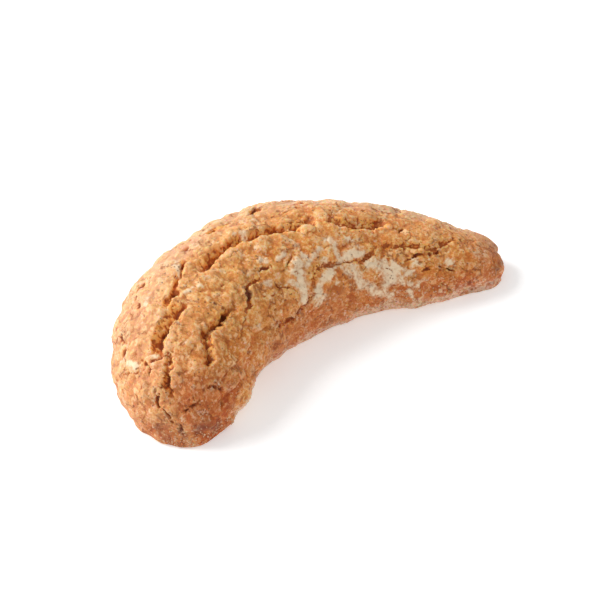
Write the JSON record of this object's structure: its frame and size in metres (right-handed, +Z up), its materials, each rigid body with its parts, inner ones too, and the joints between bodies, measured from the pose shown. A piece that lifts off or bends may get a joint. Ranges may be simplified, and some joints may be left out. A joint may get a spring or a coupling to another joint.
{
  "type": "vanilla crescent cookie",
  "caption": "Baked nutty crescent cookie with a cracked golden crust, rounded horns and a flat underside.",
  "frame": {"origin": "centre of the bounding box, in the plane of the flat underside", "axes": "+X from the left horn to the right horn, +Y towards the outer side of the bend, +Z up"},
  "size_m": [0.069, 0.0332, 0.0158],
  "materials": {
    "baked_crust": "matte"
  },
  "bodies": {
    "root": {"crescent_cookie": "baked_crust"}
  },
  "joints": []
}
